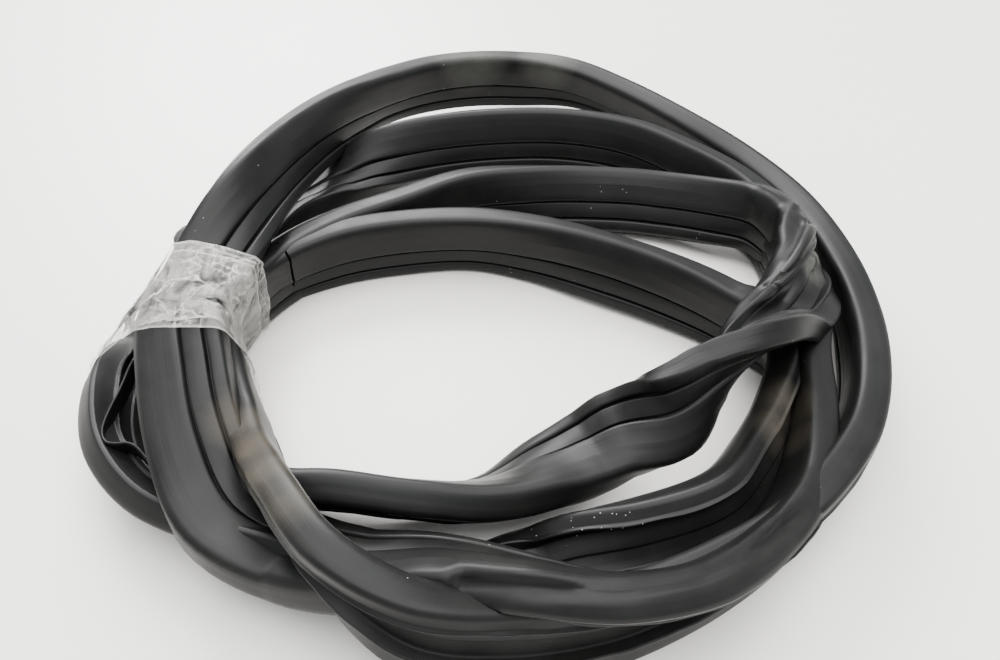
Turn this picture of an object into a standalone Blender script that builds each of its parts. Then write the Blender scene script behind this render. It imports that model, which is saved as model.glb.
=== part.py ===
"""A car door seal: one closed loop of moulded rubber section, coiled in four turns
and held by a band of clear packing tape. Metres, +Z up, lying on the ground."""
import math

import bmesh
import bpy
import numpy as np

# Rubber section, across its width (bulb, then two ribs) and through its thickness
BULB_WIDTH = 0.0205
BULB_THICKNESS = 0.014
RIB_ONE_WIDTH = 0.0060
RIB_TWO_WIDTH = 0.0065
RIB_HEIGHT = 0.0115
GROOVE_WIDTH = 0.0015
GROOVE_DEPTH = 0.0035
CHANNEL_WIDTH = 0.0170
CHANNEL_DEPTH = 0.0040
CHANNEL_OFFSET = 0.0020
EDGE_ROUND = 0.0030

# Tape band
TAPE_WIDTH = 0.050
TAPE_THICKNESS = 0.0008
TAPE_CLEARANCE = 0.0009
TAPE_MIDDLE_Y = -0.0463
TAPE_SLICES = 11
TAPE_SIDES = 40

# Coil
ROUTE_STEP_COUNT = 2
COIL_SHIFT = (-0.0022, 0.0107)
MILLIMETRE = 0.001

SECTION_WIDTH = BULB_WIDTH + RIB_ONE_WIDTH + RIB_TWO_WIDTH + 2 * GROOVE_WIDTH
UNDER_TAPE = TAPE_THICKNESS + TAPE_CLEARANCE

# Lifts of the route at the band: on the tape, and on the strands that stand on it
ON_TAPE = UNDER_TAPE / MILLIMETRE
ON_BUNDLE = ON_TAPE + SECTION_WIDTH / MILLIMETRE

# Route of the loop, turn by turn, each turn clockwise from the taped left side.
# COIL_SHIFT moves the whole coil so that the origin is under the middle of its box.
# A point is (x, y, lift, roll): its place in millimetres, the height of the section's
# lowest edge above the ground in millimetres, and its roll in degrees. Roll 0 stands
# the section on its ribs with its face to the inside, bulb on top; 90 lays it on
# its back with the bulb to the outside.
ROUTE = [
    # Outer turn: flat on top of the bundle, down to the ground behind, round the right
    # side and back on top of the front bundle
    (-132, -69, ON_BUNDLE, 96), (-128.5, -34.5, 36, 79), (-117, 10.5, 36, 40), (-105, 61, 29, 21),
    (-91, 104, 21, 10), (-68, 146.5, 13.3, -8), (-34, 175, 8, -1), (8.5, 187, 4, 1),
    (52, 179, 4.5, -17), (86, 155, 3, -22), (119, 120, 2.5, -26), (148, 81.5, 1.5, -27),
    (167.5, 36.5, 1.4, -23), (173, -13, 1, -11), (170, -51.5, 0, 0), (160, -88.5, 0, 6),
    (144.5, -117.5, 0, 13), (116, -152, 0.5, 16), (83, -176.5, 4, 22), (44, -194.5, 10, 29),
    (8, -202.5, 17, 29), (-23, -202, 23, 18), (-52, -184.5, 27.7, 14), (-73, -157.5, 21.3, 9),
    (-90, -134, 10.4, 12), (-103.5, -110.5, 4, 11), (-116.5, -82.5, ON_TAPE, 2),
    # Second turn: along the back to the moulded corner, across the eye, inner left
    (-125, -58.5, ON_TAPE, -4), (-119.5, -33.5, ON_TAPE, -3), (-103, -5, 0, 2), (-78, 16.5, 0, 6),
    (-48.5, 33.5, 0, 8), (-17, 49, 1, 14), (15, 54.5, 0, 27), (52, 55.5, 0, 40),
    (90.5, 51, 0, 41), (121, 37.5, 4, 37), (139.5, 26, 6.6, 21), (150, 3.5, 8, -2),
    (150.5, -22, 16.6, -29), (140, -47.5, 27, -65), (125, -67, 31, -100), (108.5, -85.5, 31.3, -136),
    (89, -100.5, 26, -170), (69.5, -114.5, 18, -209), (49.5, -117.5, 15.7, -269), (24.5, -128, 8, -293),
    (-0.5, -139.5, 1, -312), (-29, -143, 1.3, -327), (-58, -140.5, 3, -330), (-84, -136.5, 1, -327),
    (-103.5, -122, 0, -331), (-118, -94, ON_TAPE, -348),
    # Third turn: inner back, right side, rolled over at the front, low outer left
    (-129, -66, ON_TAPE, -366), (-124.5, -37, ON_TAPE, -376), (-110, -13.5, 0, -368), (-84, 4, 0, -360),
    (-51, 13.5, 0, -357), (-12.5, 16, 1, -360), (19, 9.5, 0, -351), (53.5, -5, 0, -339),
    (83.5, -21.5, 0, -342), (109, -40.5, 0.6, -353), (126, -58.5, 1, -365), (131, -80, 1.6, -384),
    (123, -107.5, 3, -401), (108, -131.5, 5, -407), (88.5, -152, 6, -400), (57, -162, 2, -406),
    (24.5, -166.5, 0, -435), (-2, -174.5, 0, -486), (-27.5, -176, 0, -498), (-49.5, -169.5, 0.7, -499),
    (-74, -160, 0, -494), (-103, -149.5, 0.5, -489), (-129.5, -138, 0, -492), (-149, -119.5, 0.3, -498),
    (-159, -90, ON_TAPE, -490),
    # Fourth turn: under the outer turn, along the back, front of the bundle, on top
    (-158.5, -55.5, ON_TAPE, -450), (-155.5, -21, ON_TAPE, -391), (-146.5, 10, 0.4, -318), (-130, 38, 0.6, -261),
    (-107.5, 63, 0, -249), (-85, 78, 8.3, -273), (-59.5, 89.5, 7.4, -314), (-29.5, 101, 6.3, -331),
    (5, 108, 5.4, -334), (42, 109.5, 4.3, -334), (78.5, 100.5, 3.3, -338), (108.5, 80, 1.6, -343),
    (132.5, 54, 1, -345), (146, 23.5, 1, -349), (148.5, -10.5, 0.3, -351), (146, -46, 1, -350),
    (137.5, -78.5, 0, -353), (128.5, -110.5, 0, -343), (115, -140.5, 1.7, -331), (95, -162, 5, -322),
    (69.5, -176, 9, -312), (41.5, -179.5, 11, -300), (12.5, -175, 12, -288), (-17.5, -170, 12.4, -280),
    (-47, -170, 11.5, -280), (-72.5, -167, 12, -286), (-97, -155.5, 18, -290), (-112.5, -130, 27.4, -276),
    (-123.5, -101, 34.3, -269),
]


def section_outline():
    """The rubber section as (across, through) points, from the bulb's outer end round
    the face, the two ribs, the flat end and the open channel of the back."""
    half = SECTION_WIDTH / 2
    front = BULB_THICKNESS / 2
    rib_top = RIB_HEIGHT - BULB_THICKNESS / 2
    floor = rib_top - GROOVE_DEPTH
    back = -BULB_THICKNESS / 2
    bulb_end = half - BULB_WIDTH
    rib_one_end = bulb_end - GROOVE_WIDTH - RIB_ONE_WIDTH
    channel_right = CHANNEL_OFFSET + CHANNEL_WIDTH / 2
    channel_left = CHANNEL_OFFSET - CHANNEL_WIDTH / 2
    edge = EDGE_ROUND
    return [
        (half, 0.0),
        (half - 0.35 * edge, front - edge),
        (half - 1.3 * edge, front - 0.25 * edge),
        (half - 0.5 * BULB_WIDTH, front),
        (bulb_end + 1.2 * edge, front - 0.2 * edge),
        (bulb_end, rib_top - 0.3 * edge),
        (bulb_end - 0.5 * GROOVE_WIDTH, floor),
        (bulb_end - GROOVE_WIDTH, rib_top - 0.4 * edge),
        (bulb_end - GROOVE_WIDTH - 0.5 * RIB_ONE_WIDTH, rib_top),
        (rib_one_end, rib_top - 0.4 * edge),
        (rib_one_end - 0.5 * GROOVE_WIDTH, floor),
        (rib_one_end - GROOVE_WIDTH, rib_top - 0.4 * edge),
        (rib_one_end - GROOVE_WIDTH - 0.5 * RIB_TWO_WIDTH, rib_top),
        (-half, rib_top - 0.5 * edge),
        (-half, back + 0.3 * edge),
        (-half + 0.4 * edge, back),
        (channel_left, back),
        (channel_left + 0.3 * edge, back + CHANNEL_DEPTH),
        (channel_right - 0.3 * edge, back + CHANNEL_DEPTH),
        (channel_right, back),
        (half - edge, back + 0.2 * edge),
        (half - 0.2 * edge, back + edge),
    ]


def resting_height(roll):
    """Height of the section's middle when its lowest edge touches the ground."""
    up_face, up_bulb = math.sin(roll), math.cos(roll)
    return -min(across * up_bulb + through * up_face for across, through in section_outline())


def smooth_route(steps):
    """The closed route read from a smooth curve through its points, as (x, y, z, roll)
    in metres and radians, each place as high as its lift and roll need."""
    points = np.array(ROUTE, float) * [MILLIMETRE, MILLIMETRE, MILLIMETRE, math.pi / 180]
    turned = points[-1, 3] - points[0, 3]
    turned = round(turned / (2 * math.pi)) * 2 * math.pi
    shift = np.array([0, 0, 0, turned])
    ring = np.vstack([points[-2:] - shift, points, points[:3] + shift])
    gaps = np.sqrt(np.linalg.norm(np.diff(ring[:, :3], axis=0), axis=1))
    knots = np.concatenate([[0], np.cumsum(gaps)])
    smooth = []
    for i in range(2, len(points) + 2):
        before, start, end, after = ring[i - 1], ring[i], ring[i + 1], ring[i + 2]
        t0, t1, t2, t3 = knots[i - 1], knots[i], knots[i + 1], knots[i + 2]
        for step in range(steps):
            t = t1 + (t2 - t1) * step / steps
            a = ((t1 - t) * before + (t - t0) * start) / (t1 - t0)
            b = ((t2 - t) * start + (t - t1) * end) / (t2 - t1)
            c = ((t3 - t) * end + (t - t2) * after) / (t3 - t2)
            ab = ((t2 - t) * a + (t - t0) * b) / (t2 - t0)
            bc = ((t3 - t) * b + (t - t1) * c) / (t3 - t1)
            smooth.append(((t2 - t) * ab + (t - t1) * bc) / (t2 - t1))
    smooth.append(points[0] + shift)
    smooth = np.array(smooth)
    smooth[:, :2] += COIL_SHIFT
    for place in smooth:
        place[2] = max(place[2], 0) + resting_height(place[3])
    return smooth


def material(name, colour, roughness, alpha=1.0):
    made = bpy.data.materials.new(name)
    made.use_nodes = True
    shader = made.node_tree.nodes["Principled BSDF"]
    shader.inputs["Base Color"].default_value = (*colour, 1)
    shader.inputs["Roughness"].default_value = roughness
    shader.inputs["Metallic"].default_value = 0.0
    shader.inputs["Alpha"].default_value = alpha
    return made


def closed_curve(name, points):
    """A closed straight-sided curve object through the points (x, y, z)."""
    data = bpy.data.curves.new(name, "CURVE")
    data.dimensions = "3D"
    spline = data.splines.new("POLY")
    spline.points.add(len(points) - 1)
    for point, place in zip(spline.points, points):
        point.co = (*place, 1)
    spline.use_cyclic_u = True
    return bpy.data.objects.new(name, data)


def door_seal(parts, guides):
    """The rubber loop: the section swept along the route and rolled with it."""
    profile = closed_curve("seal_section", [(through, across, 0) for across, through in section_outline()])
    profile.hide_render = True
    profile.display_type = "WIRE"
    guides.objects.link(profile)
    route = smooth_route(ROUTE_STEP_COUNT)[:-1]
    seal = closed_curve("door_seal", route[:, :3])
    seal.data.twist_mode = "Z_UP"
    seal.data.bevel_mode = "OBJECT"
    seal.data.bevel_object = profile
    for point, roll in zip(seal.data.splines[0].points, route[:, 3]):
        point.tilt = -roll
    seal.data.materials.append(material("black_rubber", (0.012, 0.012, 0.013), 0.45))
    parts.objects.link(seal)
    return seal


def strands_at(seal, level):
    """The outlines of the strands of the left side in the plane y = level, as
    points (x, z)."""
    cut = bmesh.new()
    cut.from_mesh(seal)
    everything = cut.verts[:] + cut.edges[:] + cut.faces[:]
    result = bmesh.ops.bisect_plane(cut, geom=everything, plane_co=(0, level, 0), plane_no=(0, 1, 0))
    made = [thing.co for thing in result["geom_cut"] if isinstance(thing, bmesh.types.BMVert)]
    points = [(co.x, co.z) for co in made if co.x < 0]
    cut.free()
    return points


def band_outline(seal, level):
    """The tape's inner outline at y = level: stretched round the strands with the
    clearance, one side for each direction, and flat on the ground below."""
    strands = np.array(strands_at(seal, level))
    turns = [2 * math.pi * side / TAPE_SIDES - math.pi / 2 for side in range(TAPE_SIDES)]
    ways = np.array([(math.cos(turn), math.sin(turn)) for turn in turns])
    reach = (strands @ ways.T).max(axis=0) + TAPE_CLEARANCE
    reach[0] = -TAPE_THICKNESS
    outline = []
    for side in range(TAPE_SIDES):
        following = (side + 1) % TAPE_SIDES
        pair = np.array([ways[side], ways[following]])
        outline.append(np.linalg.solve(pair, [reach[side], reach[following]]))
    return outline


def tape_wrap(parts, seal_object):
    """The band of packing tape: one closed turn of film pulled tight round the bundle."""
    bpy.context.view_layer.update()
    seal = bpy.data.meshes.new_from_object(seal_object.evaluated_get(bpy.context.evaluated_depsgraph_get()))
    form = bmesh.new()
    rings = []
    for slice_number in range(TAPE_SLICES):
        level = TAPE_MIDDLE_Y + TAPE_WIDTH * (slice_number / (TAPE_SLICES - 1) - 0.5)
        rings.append([form.verts.new((x, level, z)) for x, z in band_outline(seal, level)])
    bpy.data.meshes.remove(seal)
    for near, far in zip(rings[:-1], rings[1:]):
        for i in range(TAPE_SIDES):
            j = (i + 1) % TAPE_SIDES
            form.faces.new((near[j], near[i], far[i], far[j]))
    mesh = bpy.data.meshes.new("tape_wrap")
    form.to_mesh(mesh)
    form.free()
    tape = bpy.data.objects.new("tape_wrap", mesh)
    film = tape.modifiers.new("film", "SOLIDIFY")
    film.thickness = TAPE_THICKNESS
    film.offset = 1.0
    film.use_even_offset = True
    mesh.materials.append(material("clear_tape", (0.62, 0.60, 0.55), 0.2, 0.45))
    parts.objects.link(tape)
    return tape


def main():
    for thing in list(bpy.data.objects):
        bpy.data.objects.remove(thing)
    parts = bpy.data.collections.new("car_door_seal")
    guides = bpy.data.collections.new("guides")
    bpy.context.scene.collection.children.link(parts)
    bpy.context.scene.collection.children.link(guides)
    seal = door_seal(parts, guides)
    tape_wrap(parts, seal)


main()
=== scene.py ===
"""A coiled car door seal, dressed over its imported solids: one closed loop of extruded
rubber in four turns, bundled on its left side with clear packing tape."""
import math

import bpy
import numpy as np
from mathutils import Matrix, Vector, noise


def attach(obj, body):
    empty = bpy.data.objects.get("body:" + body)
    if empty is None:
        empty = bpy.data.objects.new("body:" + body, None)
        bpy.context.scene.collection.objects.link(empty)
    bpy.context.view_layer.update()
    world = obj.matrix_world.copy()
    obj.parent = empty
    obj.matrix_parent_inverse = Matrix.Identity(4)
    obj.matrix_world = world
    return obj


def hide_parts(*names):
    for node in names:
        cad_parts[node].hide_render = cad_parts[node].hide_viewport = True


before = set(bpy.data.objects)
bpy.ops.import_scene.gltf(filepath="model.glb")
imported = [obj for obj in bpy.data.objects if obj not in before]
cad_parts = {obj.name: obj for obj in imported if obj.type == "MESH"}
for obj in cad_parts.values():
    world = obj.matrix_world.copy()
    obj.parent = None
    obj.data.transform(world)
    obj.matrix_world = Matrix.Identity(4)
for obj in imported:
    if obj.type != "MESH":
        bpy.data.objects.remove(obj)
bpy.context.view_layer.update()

# The rubber loop: EPDM extruded as a hollow bulb beside two ribs, with an open channel
# in its back that grips the door, its ends joined and one corner moulded. It was taken
# off the car, coiled in four turns and lies as it was dropped on the floor.

# Corners of the section in millimetres: across from the ribs to the bulb, through from
# the back to the face, and the corner's radius
SECTION = [
    (18.0, -6.4, 2.6), (18.0, 6.9, 3.4), (8.0, 7.3, 9.0), (-1.3, 6.7, 1.3), (-2.1, 3.4, 0.4),
    (-2.6, 5.5, 0.5), (-6.5, 5.1, 6.0), (-10.2, 4.7, 0.7), (-11.2, 1.6, 0.4), (-11.8, 5.0, 1.1),
    (-17.8, 4.0, 1.6), (-18.0, -5.8, 0.9), (-16.5, -7.0, 0.8), (-8.4, -7.0, 0.9), (-7.2, -8.3, 0.35),
    (-6.4, -7.8, 0.35), (-6.0, -3.3, 0.9), (1.2, -2.7, 0.5), (2.0, -3.4, 0.4), (9.8, -3.2, 0.9),
    (10.2, -7.8, 0.35), (11.0, -8.2, 0.35), (12.0, -6.9, 0.9),
]

# Route of the loop in millimetres and degrees: place, lift of the section's lowest edge
# and roll, where 0 stands it on its ribs and 90 lays it on its back, bulb outward
ROUTE = [
    # Outer turn: flat on top of the bundle, down to the ground behind, round the right
    # side and back on top of the front bundle
    (-132, -69, 37.7, 96), (-128.5, -34.5, 36, 79), (-117, 10.5, 36, 40), (-105, 61, 29, 21),
    (-91, 104, 21, 10), (-68, 146.5, 13.3, -8), (-34, 175, 8, -1), (8.5, 187, 4, 1),
    (52, 179, 4.5, -17), (86, 155, 3, -22), (119, 120, 2.5, -26), (148, 81.5, 1.5, -27),
    (167.5, 36.5, 1.4, -23), (173, -13, 1, -11), (170, -51.5, 0, 0), (160, -88.5, 0, 6),
    (144.5, -117.5, 0, 13), (116, -152, 0.5, 16), (83, -176.5, 4, 22), (44, -194.5, 10, 29),
    (8, -202.5, 17, 29), (-23, -202, 23, 18), (-52, -184.5, 27.7, 14), (-73, -157.5, 21.3, 9),
    (-90, -134, 10.4, 12), (-103.5, -110.5, 4, 11), (-116.5, -82.5, 1.7, 2),
    # Second turn: along the back to the moulded corner, across the eye, inner left
    (-125, -58.5, 1.7, -4), (-119.5, -33.5, 1.7, -3), (-103, -5, 0, 2), (-78, 16.5, 0, 6),
    (-48.5, 33.5, 0, 8), (-17, 49, 1, 14), (15, 54.5, 0, 27), (52, 55.5, 0, 40),
    (90.5, 51, 0, 41), (121, 37.5, 4, 37), (139.5, 26, 6.6, 21), (150, 3.5, 8, -2),
    (150.5, -22, 16.6, -29), (140, -47.5, 27, -65), (125, -67, 31, -100), (108.5, -85.5, 31.3, -136),
    (89, -100.5, 26, -170), (69.5, -114.5, 18, -209), (49.5, -117.5, 15.7, -269), (24.5, -128, 8, -293),
    (-0.5, -139.5, 1, -312), (-29, -143, 1.3, -327), (-58, -140.5, 3, -330), (-84, -136.5, 1, -327),
    (-103.5, -122, 0, -331), (-118, -94, 1.7, -348),
    # Third turn: inner back, right side, rolled over at the front, low outer left
    (-129, -66, 1.7, -366), (-124.5, -37, 1.7, -376), (-110, -13.5, 0, -368), (-84, 4, 0, -360),
    (-51, 13.5, 0, -357), (-12.5, 16, 1, -360), (19, 9.5, 0, -351), (53.5, -5, 0, -339),
    (83.5, -21.5, 0, -342), (109, -40.5, 0.6, -353), (126, -58.5, 1, -365), (131, -80, 1.6, -384),
    (123, -107.5, 3, -401), (108, -131.5, 5, -407), (88.5, -152, 6, -400), (57, -162, 2, -406),
    (24.5, -166.5, 0, -435), (-2, -174.5, 0, -486), (-27.5, -176, 0, -498), (-49.5, -169.5, 0.7, -499),
    (-74, -160, 0, -494), (-103, -149.5, 0.5, -489), (-129.5, -138, 0, -492), (-149, -119.5, 0.3, -498),
    (-159, -90, 1.7, -490),
    # Fourth turn: under the outer turn, along the back, front of the bundle, on top
    (-158.5, -55.5, 1.7, -450), (-155.5, -21, 1.7, -391), (-146.5, 10, 0.4, -318), (-130, 38, 0.6, -261),
    (-107.5, 63, 0, -249), (-85, 78, 8.3, -273), (-59.5, 89.5, 7.4, -314), (-29.5, 101, 6.3, -331),
    (5, 108, 5.4, -334), (42, 109.5, 4.3, -334), (78.5, 100.5, 3.3, -338), (108.5, 80, 1.6, -343),
    (132.5, 54, 1, -345), (146, 23.5, 1, -349), (148.5, -10.5, 0.3, -351), (146, -46, 1, -350),
    (137.5, -78.5, 0, -353), (128.5, -110.5, 0, -343), (115, -140.5, 1.7, -331), (95, -162, 5, -322),
    (69.5, -176, 9, -312), (41.5, -179.5, 11, -300), (12.5, -175, 12, -288), (-17.5, -170, 12.4, -280),
    (-47, -170, 11.5, -280), (-72.5, -167, 12, -286), (-97, -155.5, 18, -290), (-112.5, -130, 27.4, -276),
    (-123.5, -101, 34.3, -269),
]
# The route's place on the floor, in metres to the right and away
COIL_SHIFT = (-0.0022, 0.0107)


def rounded_section(corners, arc_steps):
    """The section's outline with an arc at each corner, in metres."""
    outline = []
    for i, (across, through, radius) in enumerate(corners):
        here = Vector((across, through))
        back = Vector(corners[i - 1][:2]) - here
        ahead = Vector(corners[(i + 1) % len(corners)][:2]) - here
        half = back.angle(ahead) / 2
        reach = min(radius / math.tan(half), 0.45 * back.length, 0.45 * ahead.length)
        start, end = here + back.normalized() * reach, here + ahead.normalized() * reach
        for step in range(arc_steps + 1):
            t = step / arc_steps
            point = start * (1 - t) ** 2 + here * 2 * t * (1 - t) + end * t ** 2
            outline.append((point.x / 1000, point.y / 1000))
    return outline


def resting_height(roll, outline):
    """How high the section's middle is when its lowest edge touches the ground."""
    return -min(across * math.cos(roll) + through * math.sin(roll) for across, through in outline)


def smooth_route(steps):
    """Places and rolls along a smooth closed curve through the route's points."""
    points = np.array(ROUTE, float) * [0.001, 0.001, 0.001, math.pi / 180]
    turned = round((points[-1, 3] - points[0, 3]) / math.tau) * math.tau
    shift = np.array([0, 0, 0, turned])
    ring = np.vstack([points[-2:] - shift, points, points[:3] + shift])
    gaps = np.linalg.norm(np.diff(ring[:, :3], axis=0), axis=1)
    knots = np.concatenate([[0], np.cumsum(np.sqrt(gaps))])
    smooth = []
    for i in range(2, len(points) + 2):
        before, start, end, after = ring[i - 1:i + 3]
        t0, t1, t2, t3 = knots[i - 1:i + 3]
        for step in range(steps):
            t = t1 + (t2 - t1) * step / steps
            a = ((t1 - t) * before + (t - t0) * start) / (t1 - t0)
            b = ((t2 - t) * start + (t - t1) * end) / (t2 - t1)
            c = ((t3 - t) * end + (t - t2) * after) / (t3 - t2)
            ab = ((t2 - t) * a + (t - t0) * b) / (t2 - t0)
            bc = ((t3 - t) * b + (t - t1) * c) / (t3 - t1)
            smooth.append(((t2 - t) * ab + (t - t1) * bc) / (t2 - t1))
    smooth.append(points[0] + shift)
    smooth = np.array(smooth)
    smooth[:, :2] += COIL_SHIFT
    return smooth


# The section, its flats split into short steps so that they can wave and fold
FLAT_STEP = 0.0026
section = []
outline = rounded_section(SECTION, 2)
for start, end in zip(outline, outline[1:] + outline[:1]):
    pieces = max(1, round(math.dist(start, end) / FLAT_STEP))
    for piece in range(pieces):
        part = piece / pieces
        section.append(tuple(start[k] * (1 - part) + end[k] * part for k in (0, 1)))

# How far the strands have settled from the laid route, which the solids follow, since the
# bundle was dropped: point on the route, then millimetres to the right, away and up, and
# degrees of roll
SETTLED = (
    # The outer turn, as it sinks in front of the bundle and shifts low on the left
    (0, 0, 0, 0, 6), (1, 0, 0, 0, 0), (16, 0, 0, 0, 0), (17, 0, 1, 0, -10),
    (18, 0, 3, -4, -24), (19, 0, 4, -10, -38), (20, 0, 3, -9, -42), (21, 0, 1, -5, -28),
    (22, 0, 0, -1, -8), (23, 0, 0, 0, 0), (24, 3, 0, -2, 0), (25, 5, 0, -3, 0),
    (26, 3, 0, 0, 0), (27, 0, 0, 0, 0),
    # The second turn, where it twists over the eye
    (42, 0, 0, 0, 0), (43, 0, 0, 0, -6), (44, 0, 0, 0, -12), (45, 0, 0, 0, 14),
    (46, 0, 0, 0, 8), (47, 0, 0, 0, 0),
    # The fourth turn, come forward over the outer one
    (96, 0, 0, 0, 0), (97, 0, -3, 2, -8), (98, 0, -8, 6, -16), (99, 0, -11, 9, -24),
    (100, 0, -12, 11, -28), (101, 0, -10, 8, -24), (102, 0, -6, 3, -12), (103, 0, 0, 0, 6),
    (104, 0, 0, 0, 14), (105, 0, 0, 0, 12), (106, 0, 0, 0, 8), (107, 0, 0, 0, 6),
)
STEPS_PER_POINT = 12
route = smooth_route(STEPS_PER_POINT)
settled = np.array(SETTLED, float)
for column, unit in enumerate((0.001, 0.001, 0.001, math.pi / 180)):
    points_along = np.arange(len(route)) / STEPS_PER_POINT
    route[:, column] += np.interp(points_along, settled[:, 0], settled[:, column + 1]) * unit
lowest = np.array([resting_height(roll, section) for roll in route[:, 3]])
route[:, 2] = np.maximum(route[:, 2], 0) + lowest

# Rings along the loop, closer together where it is pleated at the corner and in front
SEAL_STEP = 0.0042
travel = np.concatenate([[0], np.cumsum(np.linalg.norm(np.diff(route[:, :3], axis=0), axis=1))])
seal_length = travel[-1]
on_route = np.linspace(0, len(ROUTE), len(travel))
pleated = ((on_route > 36.5) & (on_route < 46)) | ((on_route > 95) & (on_route < 103))
pace = np.where(pleated, SEAL_STEP * 0.6, SEAL_STEP)
count = np.concatenate([[0], np.cumsum(np.diff(travel) / pace[1:])])
ring_count = int(count[-1])
along = np.interp(np.arange(ring_count) * count[-1] / ring_count, count, travel)
rings = np.stack([np.interp(along, travel, route[:, k]) for k in range(4)], axis=1)

# The section swept along the rings as a curve, then made a mesh
profile_data = bpy.data.curves.new("seal_profile", "CURVE")
profile_data.dimensions = "2D"
profile_line = profile_data.splines.new("POLY")
profile_line.points.add(len(section) - 1)
for point, (across, through) in zip(profile_line.points, section):
    point.co = (through, across, 0, 1)
profile_line.use_cyclic_u = True
profile = bpy.data.objects.new("seal_profile", profile_data)

path_data = bpy.data.curves.new("door_seal_rubber", "CURVE")
path_data.dimensions = "3D"
path_data.twist_mode = "Z_UP"
path_data.bevel_mode = "OBJECT"
path_data.bevel_object = profile
path_line = path_data.splines.new("POLY")
path_line.points.add(ring_count - 1)
for point, (x, y, z, roll) in zip(path_line.points, rings):
    point.co = (x, y, z, 1)
    point.tilt = -roll
path_line.use_cyclic_u = True
seal = bpy.data.objects.new("door_seal_rubber", path_data)
bpy.context.scene.collection.objects.link(seal)
bpy.ops.object.select_all(action="DESELECT")
seal.select_set(True)
bpy.context.view_layer.objects.active = seal
bpy.ops.object.convert(target="MESH")
bpy.data.objects.remove(profile)

# Where each corner of the mesh lies in its own ring: across to the bulb and through to
# the face, so that the soft rubber can be worked
corner_count = len(section)
ahead = np.roll(rings[:, :3], -1, axis=0) - np.roll(rings[:, :3], 1, axis=0)
ahead /= np.linalg.norm(ahead, axis=1)[:, None]
side = np.cross(ahead, [0, 0, 1])
side /= np.linalg.norm(side, axis=1)[:, None]
rise = np.cross(side, ahead)
turn = rings[:, 3][:, None]
face_way = np.cos(turn) * side + np.sin(turn) * rise
bulb_way = np.cos(turn) * rise - np.sin(turn) * side
co = np.zeros(len(seal.data.vertices) * 3)
seal.data.vertices.foreach_get("co", co)
co = co.reshape(ring_count, corner_count, 3)
from_middle = co - rings[:, None, :3]
across = np.einsum("rcx,rx->rc", from_middle, bulb_way)
through = np.einsum("rcx,rx->rc", from_middle, face_way)


def slow_wave(seed, wavelength):
    """A smooth random wave along the loop, closed on itself, from about -1 to 1."""
    radius = seal_length / math.tau / wavelength
    turns = along / seal_length * math.tau
    wave = [noise.noise((radius * math.cos(a), radius * math.sin(a), seed * 7.3)) for a in turns]
    return (np.array(wave) * 1.6)[:, None]


def near(value, middle, width):
    """1 where the value is at the middle, fading to 0 a width away."""
    return np.clip(1 - np.abs(value - middle) / width, 0, 1) ** 0.8


# The bulb sags and swells by 0.4 mm, and the channel's thin lips have taken a wave
bulb_face = near(across, 0.008, 0.009) * (through > 0)
through = through + bulb_face * 0.0004 * slow_wave(1, 0.05)
lip_low = near(across, -0.0069, 0.0016) * (through < -0.0065)
lip_high = near(across, 0.0107, 0.0016) * (through < -0.0065)
across = across + lip_low * 0.0006 * slow_wave(2, 0.012) + lip_high * 0.0006 * slow_wave(3, 0.014)
through = through - lip_low * 0.0004 * slow_wave(4, 0.010) - lip_high * 0.0004 * slow_wave(5, 0.011)
co = rings[:, None, :3] + across[..., None] * bulb_way[:, None] + through[..., None] * face_way[:, None]

# Folds of the soft rubber in millimetres: points along the fold, how proud it stands, and
# how wide it is
FOLDS = (
    # Ridges that fan out from the eye of the coil over the moulded corner and the twist
    (((134, 39, 41), (134.5, 34, 36), (135.5, 29, 24)), 2.4, 3.0),
    (((149, 23, 43), (144, 14, 44), (140, 6, 45), (129, -13, 43), (117, -30, 38),
      (107, -46, 41)), 3.0, 3.0),
    (((150, -1, 48), (140, -18, 52), (134, -27, 51), (126, -36, 48), (118, -45, 45),
      (107, -57, 46)), 3.0, 2.8),
    (((152, -7, 36), (143, -23, 42.5), (138, -32, 43), (131, -39, 42), (125, -45, 40.6),
      (115, -54, 43)), 2.6, 2.6),
    # Creases between the ridges
    (((141, 26, 44), (140, 22, 39), (139.6, 16, 22)), -2.2, 3.2),
    (((147, 7, 47), (138, -12, 50), (130, -28, 51.6), (122, -36, 47), (115, -44, 45)), -2.8, 3.0),
    (((145, -22, 42), (136, -33, 43.7), (129, -39, 42), (120, -45.5, 41), (109, -56, 44)), -2.4, 2.8),
    # The dark gap in front, pressed into the fourth turn's face, and the edge beside it
    (((-12, -182, 51.5), (13, -186.6, 55), (40, -185.6, 55), (64, -179, 52), (84.5, -168, 47),
      (102, -155, 41), (113, -143.6, 38)), -4.5, 2.4),
    (((-12, -176, 51), (13, -181, 55), (40, -180, 55), (64, -174, 52), (83, -163, 47),
      (99, -151, 42)), 1.6, 2.2),
)
# A fold fades out over its last 18 mm, and the undersides stay unfolded
FOLD_FADE = 0.018
UNDERSIDE = -0.35
skin = co.reshape(-1, 3)
round_section = np.roll(co, -1, axis=1) - np.roll(co, 1, axis=1)
outward = np.cross(np.broadcast_to(ahead[:, None], co.shape), round_section).reshape(-1, 3)
outward /= np.linalg.norm(outward, axis=1)[:, None] + 1e-12
from_ring_middle = (co - co.mean(axis=1)[:, None]).reshape(-1, 3)
if (outward * from_ring_middle).sum() < 0:
    outward = -outward
pushed = np.zeros(len(skin))
for points, proud, wide in FOLDS:
    line = np.array(points, float) / 1000
    nearest = np.full(len(skin), 1.0)
    for start, end in zip(line[:-1], line[1:]):
        leg = end - start
        part = np.clip((skin - start) @ leg / (leg @ leg), 0, 1)
        nearest = np.minimum(nearest, np.linalg.norm(skin - start - part[:, None] * leg, axis=1))
    fade = np.clip(np.linalg.norm(skin - line[-1], axis=1) / FOLD_FADE, 0, 1)
    pushed += proud / 1000 * np.exp(-(nearest / (wide / 1000)) ** 2) * fade
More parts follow.
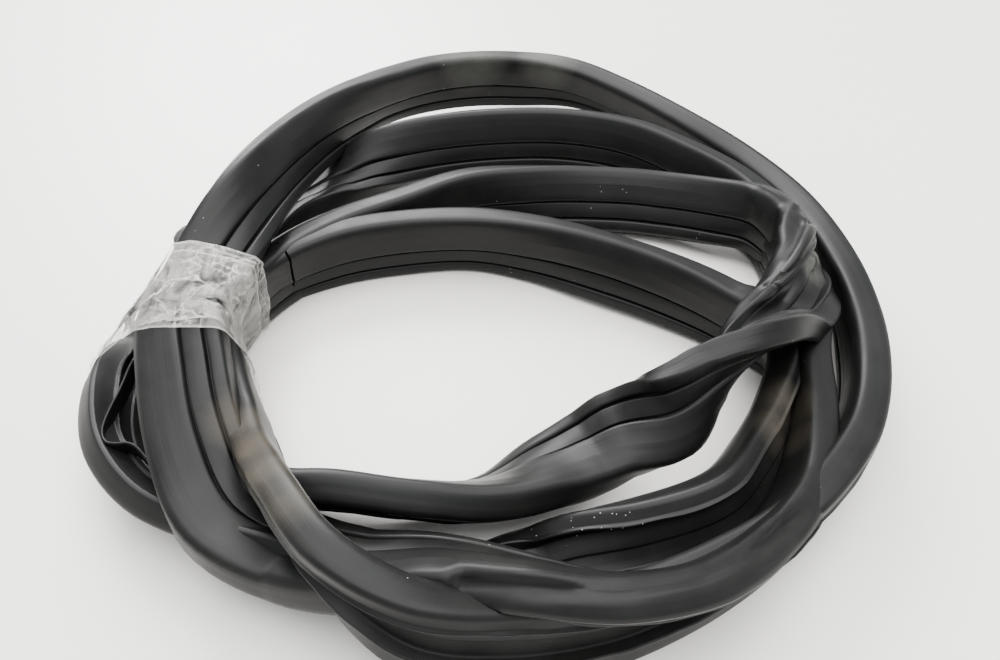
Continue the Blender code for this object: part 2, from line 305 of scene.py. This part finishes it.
skin = skin + outward * (pushed * (outward[:, 2] > UNDERSIDE))[:, None]
skin[:, 2] = np.maximum(skin[:, 2], 0.0001)
seal.data.vertices.foreach_set("co", skin.reshape(-1))
bpy.ops.object.mode_set(mode="EDIT")
bpy.ops.mesh.select_all(action="SELECT")
bpy.ops.mesh.normals_make_consistent(inside=False)
bpy.ops.object.mode_set(mode="OBJECT")
seal.data.polygons.foreach_set("use_smooth", [True] * len(seal.data.polygons))

# A map in metres, along the loop and round the section, for what follows the die. The
# faces that close the loop and the section run on to the full length and girth.
closed_section = np.array(section + section[:1])
girth = np.concatenate([[0], np.cumsum(np.linalg.norm(np.diff(closed_section, axis=0), axis=1))])
vertex_of = np.zeros(len(seal.data.loops), int)
seal.data.loops.foreach_get("vertex_index", vertex_of)
ring_of = (vertex_of // corner_count).reshape(-1, 4)
corner_of = (vertex_of % corner_count).reshape(-1, 4)
closes_loop = (np.ptp(ring_of, axis=1) > 1)[:, None] & (ring_of == 0)
closes_section = (np.ptp(corner_of, axis=1) > 1)[:, None] & (corner_of == 0)
u = np.where(closes_loop, seal_length, along[ring_of])
v = np.where(closes_section, girth[-1], girth[corner_of])
length_map = seal.data.uv_layers.new(name="along_and_round")
length_map.data.foreach_set("uv", np.stack([u, v], axis=-1).reshape(-1))

# What the seal has picked up on the car and on the floor: place and reach in metres, kind
# and how much from 0 to 1, kept as attributes that the rubber's material reads
SPOTS = (
    # Brown soil where the front of the bundle and the right side were trodden on
    (-0.099, -0.113, 0.046, 0.014, "soil", 0.75),
    (-0.090, -0.128, 0.050, 0.016, "soil", 0.85),
    (-0.080, -0.145, 0.057, 0.014, "soil", 0.7),
    (-0.068, -0.159, 0.061, 0.012, "soil", 0.5),
    (0.118, -0.095, 0.033, 0.012, "soil", 0.7),
    (0.112, -0.108, 0.032, 0.012, "soil", 0.6),
    # Pale dust on the pleated corner and along the top of the outer turn behind
    (0.152, -0.006, 0.036, 0.009, "dust", 0.9),
    (0.146, -0.020, 0.041, 0.010, "dust", 0.6),
    (0.034, 0.196, 0.041, 0.024, "dust", 0.35),
    (-0.020, 0.198, 0.045, 0.030, "dust", 0.4),
    # Chips of dry dirt along an inner strand in front
    (0.013, -0.146, 0.014, 0.012, "chips", 1.0),
    (0.027, -0.148, 0.022, 0.012, "chips", 1.0),
    (0.040, -0.147, 0.028, 0.012, "chips", 1.0),
    (0.052, -0.147, 0.031, 0.010, "chips", 0.8),
)
dirt_and_top_light = {kind: np.zeros(len(skin)) for kind in ("soil", "dust", "chips")}
for x, y, z, reach, kind, worth in SPOTS:
    distance = np.linalg.norm((skin - [x, y, z]) / reach, axis=1)
    dirt_and_top_light[kind] = np.maximum(dirt_and_top_light[kind], worth * np.clip(1 - distance, 0, 1) ** 0.7)
# How much each point faces up, for the painted light from above on the rubber's top faces
dirt_and_top_light["facing_up"] = outward[:, 2]
for kind, values in dirt_and_top_light.items():
    layer = seal.data.attributes.new(kind, "FLOAT", "POINT")
    layer.data.foreach_set("value", values.astype(np.float32))


def linear(colour):
    """An sRGB hex colour as the linear values that a shader works in."""
    parts = [int(colour[i:i + 2], 16) / 255 for i in (1, 3, 5)]
    return tuple(p / 12.92 if p <= 0.04045 else ((p + 0.055) / 1.055) ** 2.4 for p in parts) + (1.0,)


def add(tree, kind, settings=(), links=()):
    """One node. A setting is a property of the node, or else the value of a socket."""
    made = tree.nodes.new(kind)
    for name, value in dict(settings).items():
        if hasattr(made, str(name)):
            setattr(made, name, value)
        else:
            made.inputs[name].default_value = value
    for name, socket in dict(links).items():
        tree.links.new(socket, made.inputs[name])
    return made


# EPDM rubber, extruded: near black with carbon and satin, so that it is seen mostly by the
# long soft highlight on its bulb, with painted light that draws what faces up lighter in
# uneven patches, and faint streaks along its length from the die
rubber = bpy.data.materials.new("extruded_epdm_rubber")
rubber.use_nodes = True
tree = rubber.node_tree
shader = tree.nodes["Principled BSDF"]
place = add(tree, "ShaderNodeTexCoord").outputs["Object"]
length_way = add(tree, "ShaderNodeUVMap", {"uv_map": "along_and_round"}).outputs["UV"]
# Streaks 1.4 mm apart and some 110 mm long, and the film's uneven clouds of 24 mm
streak_map = add(tree, "ShaderNodeMapping", {"Scale": (9.0, 700.0, 1.0)}, {"Vector": length_way})
streaks = add(tree, "ShaderNodeTexNoise", {"Scale": 1.0, "Detail": 3.0},
              {"Vector": streak_map.outputs[0]})
clouds = add(tree, "ShaderNodeTexNoise", {"Scale": 42.0, "Detail": 6.0, "Roughness": 0.65},
             {"Vector": place})
# Painted light from above: the more the rubber faces up, the lighter it is drawn, in uneven patches
upward = add(tree, "ShaderNodeAttribute", {"attribute_name": "facing_up"})
facing_up = add(tree, "ShaderNodeMapRange",
                {"From Min": -0.1, "From Max": 1.0, "To Min": 0.15, "To Max": 1.0},
                {"Value": upward.outputs["Fac"]})
patches = add(tree, "ShaderNodeMapRange",
              {"From Min": 0.3, "From Max": 0.72, "To Min": 0.25, "To Max": 1.0},
              {"Value": clouds.outputs["Fac"]})
# The painted top light, fainter where the clouds are darker
film = add(tree, "ShaderNodeMath", {"operation": "MULTIPLY"},
           {0: facing_up.outputs[0], 1: patches.outputs[0]})
tone = add(tree, "ShaderNodeMix", {"data_type": "RGBA", 6: linear("#0a0a0a"), 7: linear("#1d1d1c")},
           {0: film.outputs[0]})
streaked = add(tree, "ShaderNodeMix", {"data_type": "RGBA", "blend_type": "MULTIPLY", 0: 0.35},
               {6: tone.outputs[2], 7: streaks.outputs["Color"]})
# Soil and dust lie thinner where the clouds are darker
soil_worth = add(tree, "ShaderNodeAttribute", {"attribute_name": "soil"})
soil_edge = add(tree, "ShaderNodeMath", {"operation": "MULTIPLY"},
                {0: soil_worth.outputs["Fac"], 1: clouds.outputs["Fac"]})
soiled = add(tree, "ShaderNodeMix", {"data_type": "RGBA", 7: linear("#61594d")},
             {0: soil_edge.outputs[0], 6: streaked.outputs[2]})
dust_worth = add(tree, "ShaderNodeAttribute", {"attribute_name": "dust"})
dust_edge = add(tree, "ShaderNodeMath", {"operation": "MULTIPLY"},
                {0: dust_worth.outputs["Fac"], 1: clouds.outputs["Fac"]})
dusted = add(tree, "ShaderNodeMix", {"data_type": "RGBA", 7: linear("#8b8c82")},
             {0: dust_edge.outputs[0], 6: soiled.outputs[2]})
# Chips of dirt 0.4 mm across, at most one in every 2.4 mm, crowded where SPOTS has them
specks = add(tree, "ShaderNodeTexVoronoi", {"Scale": 420.0, "Randomness": 1.0}, {"Vector": place})
scatter = add(tree, "ShaderNodeTexNoise", {"Scale": 60.0, "Detail": 1.0}, {"Vector": place})
speck_near = add(tree, "ShaderNodeMath", {"operation": "LESS_THAN", 1: 0.09},
                 {0: specks.outputs["Distance"]})
chip_worth = add(tree, "ShaderNodeAttribute", {"attribute_name": "chips"})
speck_chance = add(tree, "ShaderNodeMath", {"operation": "MULTIPLY_ADD", 1: 0.4},
                   {0: chip_worth.outputs["Fac"], 2: scatter.outputs["Fac"]})
speck_some = add(tree, "ShaderNodeMath", {"operation": "GREATER_THAN", 1: 0.7},
                 {0: speck_chance.outputs[0]})
speck = add(tree, "ShaderNodeMath", {"operation": "MULTIPLY"},
            {0: speck_near.outputs[0], 1: speck_some.outputs[0]})
speckled = add(tree, "ShaderNodeMix", {"data_type": "RGBA", 7: linear("#a5a59c")},
               {0: speck.outputs[0], 6: dusted.outputs[2]})
# The splice where the loop's ends were joined: a matt dark line 1.4 mm wide that wanders
# by a few millimetres
SPLICE_ON_ROUTE = 55.2
splice_place = float(np.interp(SPLICE_ON_ROUTE, on_route, travel))
length_place = add(tree, "ShaderNodeSeparateXYZ", {}, {"Vector": length_way})
wander = add(tree, "ShaderNodeMath", {"operation": "MULTIPLY_ADD", 1: 0.004},
             {0: clouds.outputs["Fac"], 2: length_place.outputs["X"]})
splice = add(tree, "ShaderNodeMath", {"operation": "COMPARE", 1: splice_place + 0.002, 2: 0.0007},
             {0: wander.outputs[0]})
sheen = add(tree, "ShaderNodeMapRange", {"To Min": 0.2, "To Max": 0.0},
            {"Value": splice.outputs[0]})
tree.links.new(sheen.outputs[0], shader.inputs["Specular IOR Level"])
spliced = add(tree, "ShaderNodeMix", {"data_type": "RGBA", 7: linear("#050505")},
              {0: splice.outputs[0], 6: speckled.outputs[2]})
tree.links.new(spliced.outputs[2], shader.inputs["Base Color"])
gloss = add(tree, "ShaderNodeMapRange",
            {"From Min": 0.3, "From Max": 0.75, "To Min": 0.36, "To Max": 0.52},
            {"Value": clouds.outputs["Fac"]})
tree.links.new(gloss.outputs[0], shader.inputs["Roughness"])
shader.inputs["IOR"].default_value = 1.5
# The skin's grain is finer than 0.1 mm, and is drawn coarser, at 0.7 mm
grain = add(tree, "ShaderNodeTexNoise", {"Scale": 1500.0, "Detail": 2.0}, {"Vector": place})
grained = add(tree, "ShaderNodeBump", {"Strength": 0.12, "Distance": 0.0002},
              {"Height": grain.outputs["Fac"]})
drawn = add(tree, "ShaderNodeBump", {"Strength": 0.25, "Distance": 0.0002},
            {"Height": streaks.outputs["Fac"], "Normal": grained.outputs[0]})
tree.links.new(drawn.outputs[0], shader.inputs["Normal"])
seal.data.materials.clear()
seal.data.materials.append(rubber)

# One lip of the channel has buckled on the outer left and hangs into the hollow there: a
# strip 8 mm high and 1.2 mm thick, extruded with the seal and so one piece with it
BUCKLED_LIP = (
    (-153.9, -65.4), (-156.1, -73), (-155.4, -88.7), (-156.3, -100.3), (-155.9, -110.3),
    (-152.6, -116.2), (-148.4, -117.1), (-142.9, -116.2), (-137.1, -119.9), (-130.5, -127.3),
)
LIP_MIDDLE_HEIGHT = 0.0305
lip_data = bpy.data.curves.new("buckled_lip", "CURVE")
lip_data.dimensions = "3D"
lip_data.twist_mode = "Z_UP"
lip_data.extrude = 0.0035
lip_data.bevel_depth = 0.0006
lip_data.bevel_resolution = 2
lip_data.resolution_u = 8
lip_data.use_fill_caps = True
lip_line = lip_data.splines.new("NURBS")
lip_line.points.add(len(BUCKLED_LIP) - 1)
for point, (x, y) in zip(lip_line.points, BUCKLED_LIP):
    point.co = (x / 1000, y / 1000, LIP_MIDDLE_HEIGHT, 1)
lip_line.order_u = 3
lip_line.use_endpoint_u = True
lip = bpy.data.objects.new("buckled_lip", lip_data)
bpy.context.scene.collection.objects.link(lip)
bpy.ops.object.select_all(action="DESELECT")
lip.select_set(True)
bpy.context.view_layer.objects.active = lip
bpy.ops.object.convert(target="MESH")
lip.data.polygons.foreach_set("use_smooth", [True] * len(lip.data.polygons))
lip.data.materials.append(rubber)
seal.select_set(True)
bpy.context.view_layer.objects.active = seal
bpy.ops.object.join()
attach(seal, "root")
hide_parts("door_seal")


# The packing tape: clear polypropylene film 48 mm wide, wound a little over two turns
# round the bundle by hand, pulled tight over the strands and creased where they part. A
# flat grid is laid on, its X wound round the strands and its Y across the film's width.
TAPE_WIDTH = 0.048
TAPE_MIDDLE_Y = -0.0463
TAPE_TURNS = 2.35
TAPE_LAYER = 0.00022
TAPE_FILM = 0.00008
ROUND_STEPS, WIDTH_STEPS = 300, 40
bpy.ops.object.select_all(action="DESELECT")
bpy.ops.mesh.primitive_grid_add(x_subdivisions=int(ROUND_STEPS * TAPE_TURNS),
                                y_subdivisions=WIDTH_STEPS, size=1.0)
tape = bpy.context.active_object
tape.name = tape.data.name = "packing_tape"

# The tight loop round the strands, 0.4 mm clear of them, at 17 levels across the film
levels = TAPE_MIDDLE_Y + np.linspace(-0.6, 0.6, 17) * TAPE_WIDTH
turns = np.linspace(0, math.tau, 73)[:-1]
ways = np.stack([np.cos(turns), np.sin(turns)], axis=1)
tight_loops = []
for level in levels:
    strands = skin[(np.abs(skin[:, 1] - level) < 0.004) & (skin[:, 0] < -0.05)][:, [0, 2]]
    reach = (strands @ ways.T).max(axis=0) + 0.0004
    loop = []
    for i in range(len(turns)):
        j = (i + 1) % len(turns)
        loop.append(np.linalg.solve(ways[[i, j]], reach[[i, j]]))
    loop = np.array(loop + loop[:1])
    middle = loop.mean(axis=0)
    angles = np.unwrap(np.arctan2(loop[:, 1] - middle[1], loop[:, 0] - middle[0]))
    even = np.linspace(angles[0], angles[0] + math.tau, ROUND_STEPS + 1)[:-1]
    tight_loops.append(np.stack([np.interp(even, angles, loop[:, k]) for k in (0, 1)], axis=1))
tight_loops = np.array(tight_loops)

# Each corner of the grid put on that loop, each turn a little askew on the last
grid = np.zeros(len(tape.data.vertices) * 3)
tape.data.vertices.foreach_get("co", grid)
grid = grid.reshape(-1, 3)
width_way = grid[:, 1]
wound = (grid[:, 0] + 0.5) * TAPE_TURNS
skew = 0.0035 * np.sin(wound * 2.4) - 0.001
y_place = TAPE_MIDDLE_Y + width_way * TAPE_WIDTH + skew
row = np.clip((y_place - levels[0]) / (levels[1] - levels[0]), 0, len(levels) - 1.001)
column = (wound % 1.0) * ROUND_STEPS
low_row, low_column = row.astype(int), column.astype(int) % ROUND_STEPS
row_part = (row - low_row)[:, None]
column_part = (column - column.astype(int))[:, None]
high_column = (low_column + 1) % ROUND_STEPS
near_row, far_row = (
    tight_loops[r, low_column] * (1 - column_part) + tight_loops[r, high_column] * column_part
    for r in (low_row, low_row + 1)
)
tight = near_row * (1 - row_part) + far_row * row_part
before = tight_loops[low_row, (low_column - 2) % ROUND_STEPS]
after = tight_loops[low_row, (low_column + 3) % ROUND_STEPS]
lie = after - before
lie /= np.linalg.norm(lie, axis=1)[:, None]
off_strands = np.stack([lie[:, 1], -lie[:, 0]], axis=1)

# Forty creases up to 2.2 mm high that slant across the film, and puffs of 1.2 mm where it
# stands off the strands
crease = np.zeros(len(grid))
for k in range(40):
    lean = noise.noise((k * 3.1, 0.3, 0.7)) * 2.2
    where = (noise.noise((k * 1.7, 5.1, 2.2)) * 0.9 + 0.5) * TAPE_TURNS
    reach = 0.25 + 0.5 * abs(noise.noise((k * 2.3, 9.1, 4.4)))
    line = (wound - where) * 0.27 + (width_way * TAPE_WIDTH) * lean
    fade = np.clip(1 - np.abs(width_way - noise.noise((k * 0.9, 1.1, 8.8))) / reach, 0, 1)
    strength = 0.35 + abs(noise.noise((k * 4.3, 2.2, 1.1)))
    crease += np.exp(-(line / 0.0011) ** 2) * fade * strength
puff = np.array([noise.fractal((w * 9.0, y * 160.0, 3.0), 1.0, 2.1, 3)
                 for w, y in zip(wound, y_place)])
height = (0.0003 + TAPE_LAYER * wound + np.clip(crease, 0, 1.4) * 0.0016
          + np.clip(puff, -0.3, 1) * 0.0012)
placed = tight + off_strands * height[:, None]
above_floor = 0.0001 + TAPE_LAYER * (TAPE_TURNS - wound)
grid = np.stack([placed[:, 0], y_place, np.maximum(placed[:, 1], above_floor)], axis=1)
tape.data.vertices.foreach_set("co", grid.reshape(-1))
tape.data.polygons.foreach_set("use_smooth", [True] * len(tape.data.polygons))
film_edge = tape.data.attributes.new("film_edge", "FLOAT", "POINT")
edge_worth = np.clip((np.abs(width_way) - 0.465) / 0.035, 0, 1)
film_edge.data.foreach_set("value", edge_worth.astype(np.float32))
film_wall = tape.modifiers.new("film", "SOLIDIFY")
film_wall.thickness = TAPE_FILM
film_wall.offset = 1.0
bpy.ops.object.modifier_apply(modifier="film")

# Clear packing tape, biaxially drawn polypropylene with an acrylic adhesive: glossy and
# see-through, hazy in patches, and whitish along its cut edges and where it is creased
clear_tape = bpy.data.materials.new("clear_polypropylene_packing_tape")
clear_tape.use_nodes = True
tree = clear_tape.node_tree
shader = tree.nodes["Principled BSDF"]
place = add(tree, "ShaderNodeTexCoord").outputs["Object"]
# Haze in patches of 18 mm, with wisps 6 mm wide and 25 mm long across the film
haze = add(tree, "ShaderNodeTexNoise", {"Scale": 55.0, "Detail": 5.0, "Roughness": 0.6},
           {"Vector": place})
haze_map = add(tree, "ShaderNodeMapping", {"Scale": (1.0, 0.25, 1.0)}, {"Vector": place})
wisps = add(tree, "ShaderNodeTexNoise", {"Scale": 160.0, "Detail": 4.0, "Distortion": 1.2},
            {"Vector": haze_map.outputs[0]})
haze_mix = add(tree, "ShaderNodeMath", {"operation": "MULTIPLY"},
               {0: haze.outputs["Fac"], 1: wisps.outputs["Fac"]})
cover = add(tree, "ShaderNodeMapRange",
            {"From Min": 0.15, "From Max": 0.4, "To Min": 0.015, "To Max": 0.13},
            {"Value": haze_mix.outputs[0]})
# Crumpled facets of 17 mm, their edges bent and white
crumple_warp = add(tree, "ShaderNodeVectorMath",
                   {"operation": "MULTIPLY_ADD", 1: (0.03, 0.03, 0.03)},
                   {0: haze.outputs["Color"], 2: place})
crumple = add(tree, "ShaderNodeTexVoronoi",
              {"feature": "DISTANCE_TO_EDGE", "Scale": 60.0, "Randomness": 1.0},
              {"Vector": crumple_warp.outputs[0]})
crease_line = add(tree, "ShaderNodeMapRange",
                  {"From Min": 0.0, "From Max": 0.035, "To Min": 0.25, "To Max": 0.0},
                  {"Value": crumple.outputs["Distance"]})
cut_edge = add(tree, "ShaderNodeAttribute", {"attribute_name": "film_edge"})
edged = add(tree, "ShaderNodeMath", {"operation": "MULTIPLY_ADD", 1: 0.3},
            {0: cut_edge.outputs["Fac"], 2: crease_line.outputs[0]})
whitened = add(tree, "ShaderNodeMath", {"operation": "MAXIMUM"},
               {0: cover.outputs[0], 1: edged.outputs[0]})
tree.links.new(whitened.outputs[0], shader.inputs["Alpha"])
folded = add(tree, "ShaderNodeBump", {"Strength": 0.7, "Distance": 0.004},
             {"Height": crumple.outputs["Distance"]})
ripple = add(tree, "ShaderNodeBump", {"Strength": 0.6, "Distance": 0.0009},
             {"Height": wisps.outputs["Fac"], "Normal": folded.outputs[0]})
tree.links.new(ripple.outputs[0], shader.inputs["Normal"])
shader.inputs["Base Color"].default_value = linear("#f4f1ea")
shader.inputs["Roughness"].default_value = 0.11
shader.inputs["IOR"].default_value = 1.49
tape.data.materials.clear()
tape.data.materials.append(clear_tape)
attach(tape, "root")
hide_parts("tape_wrap")


# A plain pale floor, faintly mottled in patches of a third of a metre
bpy.ops.object.select_all(action="DESELECT")
bpy.ops.mesh.primitive_plane_add(size=9, location=(0, 2.5, 0))
floor = bpy.context.active_object
floor.name = "floor"
pale = bpy.data.materials.new("pale_floor")
pale.use_nodes = True
tree = pale.node_tree
shader = tree.nodes["Principled BSDF"]
place = add(tree, "ShaderNodeTexCoord").outputs["Object"]
mottle = add(tree, "ShaderNodeTexNoise", {"Scale": 3.0, "Detail": 4.0}, {"Vector": place})
warmth = add(tree, "ShaderNodeMix",
             {"data_type": "RGBA", 6: linear("#f6f2ec"), 7: linear("#fbf9f5")},
             {0: mottle.outputs["Fac"]})
tree.links.new(warmth.outputs[2], shader.inputs["Base Color"])
shader.inputs["Roughness"].default_value = 0.35
floor.data.materials.append(pale)

# Soft light from overhead and behind, as from a bright room, and a pale surround
world = bpy.data.worlds.new("room")
world.use_nodes = True
world.node_tree.nodes["Background"].inputs["Color"].default_value = linear("#eef1f2")
world.node_tree.nodes["Background"].inputs["Strength"].default_value = 1.25
bpy.context.scene.world = world
for name, spot, target, size, power in (
    ("overhead", (0.2, 0.1, 2.3), (0.0, 0.0, 0.0), 2.8, 125.0),
    ("behind", (-0.6, 1.7, 1.3), (0.0, 0.1, 0.0), 1.5, 110.0),
    ("front_fill", (0.9, -1.2, 1.2), (0.0, 0.0, 0.0), 1.0, 2.0),
):
    light = bpy.data.lights.new(name, "AREA")
    light.shape = "DISK"
    light.size = size
    light.energy = power
    lamp = bpy.data.objects.new(name, light)
    bpy.context.scene.collection.objects.link(lamp)
    lamp.location = spot
    lamp.rotation_euler = (Vector(target) - Vector(spot)).to_track_quat("-Z", "Y").to_euler()

# The view: close in front of the coil and looking down on it
camera_data = bpy.data.cameras.new("camera")
camera_data.lens = 28.08
camera_data.sensor_width = 36.0
camera_data.clip_start = 0.01
camera = bpy.data.objects.new("camera", camera_data)
bpy.context.scene.collection.objects.link(camera)
camera.location = (0.0008, -0.2983, 0.279)
camera.rotation_euler = (math.radians(44.8), 0.0, 0.0)
bpy.context.scene.camera = camera
